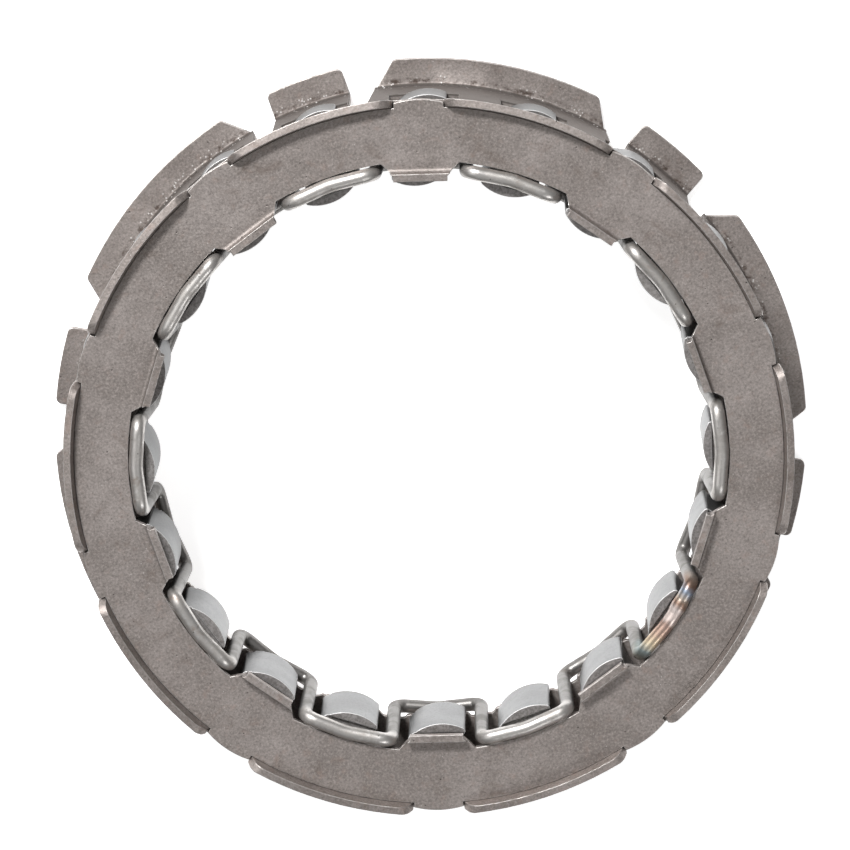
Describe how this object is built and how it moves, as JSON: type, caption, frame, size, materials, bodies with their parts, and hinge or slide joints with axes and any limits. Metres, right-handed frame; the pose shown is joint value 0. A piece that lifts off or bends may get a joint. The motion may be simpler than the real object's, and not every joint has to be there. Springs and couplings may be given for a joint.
{
  "type": "sprag clutch",
  "caption": "Caged ring of tilting sprags held by two nested pressed sheet cages and a serpentine wire spring, for one-way drive between two round races.",
  "frame": {"origin": "on the ring axis, in the plane of the back face of the tabbed flange", "axes": "+Z along the ring axis, from the tabbed flange towards the lips; +X through the middle of a long flange tab and of sprag_01"},
  "size_m": [0.076, 0.076, 0.0162],
  "materials": {
    "outer_cage_steel": "tumbled matte grey-brown sheet",
    "inner_cage_steel": "tumbled matte grey-brown sheet",
    "spring_wire": "drawn bright wire with a weld tint",
    "sprag_steel": "ground satin hardened steel"
  },
  "bodies": {
    "cage": {"outer_cage": "outer_cage_steel", "inner_cage": "inner_cage_steel", "serpentine_spring": "spring_wire"},
    "sprag_01": {"sprag_01": "sprag_steel"},
    "sprag_02": {"sprag_02": "sprag_steel"},
    "sprag_03": {"sprag_03": "sprag_steel"},
    "sprag_04": {"sprag_04": "sprag_steel"},
    "sprag_05": {"sprag_05": "sprag_steel"},
    "sprag_06": {"sprag_06": "sprag_steel"},
    "sprag_07": {"sprag_07": "sprag_steel"},
    "sprag_08": {"sprag_08": "sprag_steel"},
    "sprag_09": {"sprag_09": "sprag_steel"},
    "sprag_10": {"sprag_10": "sprag_steel"},
    "sprag_11": {"sprag_11": "sprag_steel"},
    "sprag_12": {"sprag_12": "sprag_steel"},
    "sprag_13": {"sprag_13": "sprag_steel"},
    "sprag_14": {"sprag_14": "sprag_steel"},
    "sprag_15": {"sprag_15": "sprag_steel"},
    "sprag_16": {"sprag_16": "sprag_steel"},
    "sprag_17": {"sprag_17": "sprag_steel"},
    "sprag_18": {"sprag_18": "sprag_steel"},
    "sprag_19": {"sprag_19": "sprag_steel"},
    "sprag_20": {"sprag_20": "sprag_steel"}
  },
  "joints": [
    {"name": "sprag_01_tilt", "type": "hinge", "parent": "cage", "child": "sprag_01", "pos_m": [0.0314, -0.0008, 0.00945], "axis": [0, 0, -1], "range_deg": [0, 13], "stiffness_Nm_per_rad": 0.02, "springref_deg": -2.86},
    {"name": "sprag_02_tilt", "type": "hinge", "parent": "cage", "child": "sprag_02", "pos_m": [0.03011, 0.00894, 0.00945], "axis": [0, 0, -1], "range_deg": [0, 13]},
    {"name": "sprag_03_tilt", "type": "hinge", "parent": "cage", "child": "sprag_03", "pos_m": [0.02588, 0.01781, 0.00945], "axis": [0, 0, -1], "range_deg": [0, 13]},
    {"name": "sprag_04_tilt", "type": "hinge", "parent": "cage", "child": "sprag_04", "pos_m": [0.01911, 0.02493, 0.00945], "axis": [0, 0, -1], "range_deg": [0, 13]},
    {"name": "sprag_05_tilt", "type": "hinge", "parent": "cage", "child": "sprag_05", "pos_m": [0.01046, 0.02962, 0.00945], "axis": [0, 0, -1], "range_deg": [0, 13]},
    {"name": "sprag_06_tilt", "type": "hinge", "parent": "cage", "child": "sprag_06", "pos_m": [0.0008, 0.0314, 0.00945], "axis": [0, 0, -1], "range_deg": [0, 13]},
    {"name": "sprag_07_tilt", "type": "hinge", "parent": "cage", "child": "sprag_07", "pos_m": [-0.00894, 0.03011, 0.00945], "axis": [0, 0, -1], "range_deg": [0, 13]},
    {"name": "sprag_08_tilt", "type": "hinge", "parent": "cage", "child": "sprag_08", "pos_m": [-0.01781, 0.02588, 0.00945], "axis": [0, 0, -1], "range_deg": [0, 13]},
    {"name": "sprag_09_tilt", "type": "hinge", "parent": "cage", "child": "sprag_09", "pos_m": [-0.02493, 0.01911, 0.00945], "axis": [0, 0, -1], "range_deg": [0, 13]},
    {"name": "sprag_10_tilt", "type": "hinge", "parent": "cage", "child": "sprag_10", "pos_m": [-0.02962, 0.01046, 0.00945], "axis": [0, 0, -1], "range_deg": [0, 13]},
    {"name": "sprag_11_tilt", "type": "hinge", "parent": "cage", "child": "sprag_11", "pos_m": [-0.0314, 0.0008, 0.00945], "axis": [0, 0, -1], "range_deg": [0, 13]},
    {"name": "sprag_12_tilt", "type": "hinge", "parent": "cage", "child": "sprag_12", "pos_m": [-0.03011, -0.00894, 0.00945], "axis": [0, 0, -1], "range_deg": [0, 13]},
    {"name": "sprag_13_tilt", "type": "hinge", "parent": "cage", "child": "sprag_13", "pos_m": [-0.02588, -0.01781, 0.00945], "axis": [0, 0, -1], "range_deg": [0, 13]},
    {"name": "sprag_14_tilt", "type": "hinge", "parent": "cage", "child": "sprag_14", "pos_m": [-0.01911, -0.02493, 0.00945], "axis": [0, 0, -1], "range_deg": [0, 13]},
    {"name": "sprag_15_tilt", "type": "hinge", "parent": "cage", "child": "sprag_15", "pos_m": [-0.01046, -0.02962, 0.00945], "axis": [0, 0, -1], "range_deg": [0, 13]},
    {"name": "sprag_16_tilt", "type": "hinge", "parent": "cage", "child": "sprag_16", "pos_m": [-0.0008, -0.0314, 0.00945], "axis": [0, 0, -1], "range_deg": [0, 13]},
    {"name": "sprag_17_tilt", "type": "hinge", "parent": "cage", "child": "sprag_17", "pos_m": [0.00894, -0.03011, 0.00945], "axis": [0, 0, -1], "range_deg": [0, 13]},
    {"name": "sprag_18_tilt", "type": "hinge", "parent": "cage", "child": "sprag_18", "pos_m": [0.01781, -0.02588, 0.00945], "axis": [0, 0, -1], "range_deg": [0, 13]},
    {"name": "sprag_19_tilt", "type": "hinge", "parent": "cage", "child": "sprag_19", "pos_m": [0.02493, -0.01911, 0.00945], "axis": [0, 0, -1], "range_deg": [0, 13]},
    {"name": "sprag_20_tilt", "type": "hinge", "parent": "cage", "child": "sprag_20", "pos_m": [0.02962, -0.01046, 0.00945], "axis": [0, 0, -1], "range_deg": [0, 13]}
  ],
  "couplings": [
    {"joint": "sprag_02_tilt", "follows": "sprag_01_tilt", "ratio": 1},
    {"joint": "sprag_03_tilt", "follows": "sprag_01_tilt", "ratio": 1},
    {"joint": "sprag_04_tilt", "follows": "sprag_01_tilt", "ratio": 1},
    {"joint": "sprag_05_tilt", "follows": "sprag_01_tilt", "ratio": 1},
    {"joint": "sprag_06_tilt", "follows": "sprag_01_tilt", "ratio": 1},
    {"joint": "sprag_07_tilt", "follows": "sprag_01_tilt", "ratio": 1},
    {"joint": "sprag_08_tilt", "follows": "sprag_01_tilt", "ratio": 1},
    {"joint": "sprag_09_tilt", "follows": "sprag_01_tilt", "ratio": 1},
    {"joint": "sprag_10_tilt", "follows": "sprag_01_tilt", "ratio": 1},
    {"joint": "sprag_11_tilt", "follows": "sprag_01_tilt", "ratio": 1},
    {"joint": "sprag_12_tilt", "follows": "sprag_01_tilt", "ratio": 1},
    {"joint": "sprag_13_tilt", "follows": "sprag_01_tilt", "ratio": 1},
    {"joint": "sprag_14_tilt", "follows": "sprag_01_tilt", "ratio": 1},
    {"joint": "sprag_15_tilt", "follows": "sprag_01_tilt", "ratio": 1},
    {"joint": "sprag_16_tilt", "follows": "sprag_01_tilt", "ratio": 1},
    {"joint": "sprag_17_tilt", "follows": "sprag_01_tilt", "ratio": 1},
    {"joint": "sprag_18_tilt", "follows": "sprag_01_tilt", "ratio": 1},
    {"joint": "sprag_19_tilt", "follows": "sprag_01_tilt", "ratio": 1},
    {"joint": "sprag_20_tilt", "follows": "sprag_01_tilt", "ratio": 1}
  ]
}
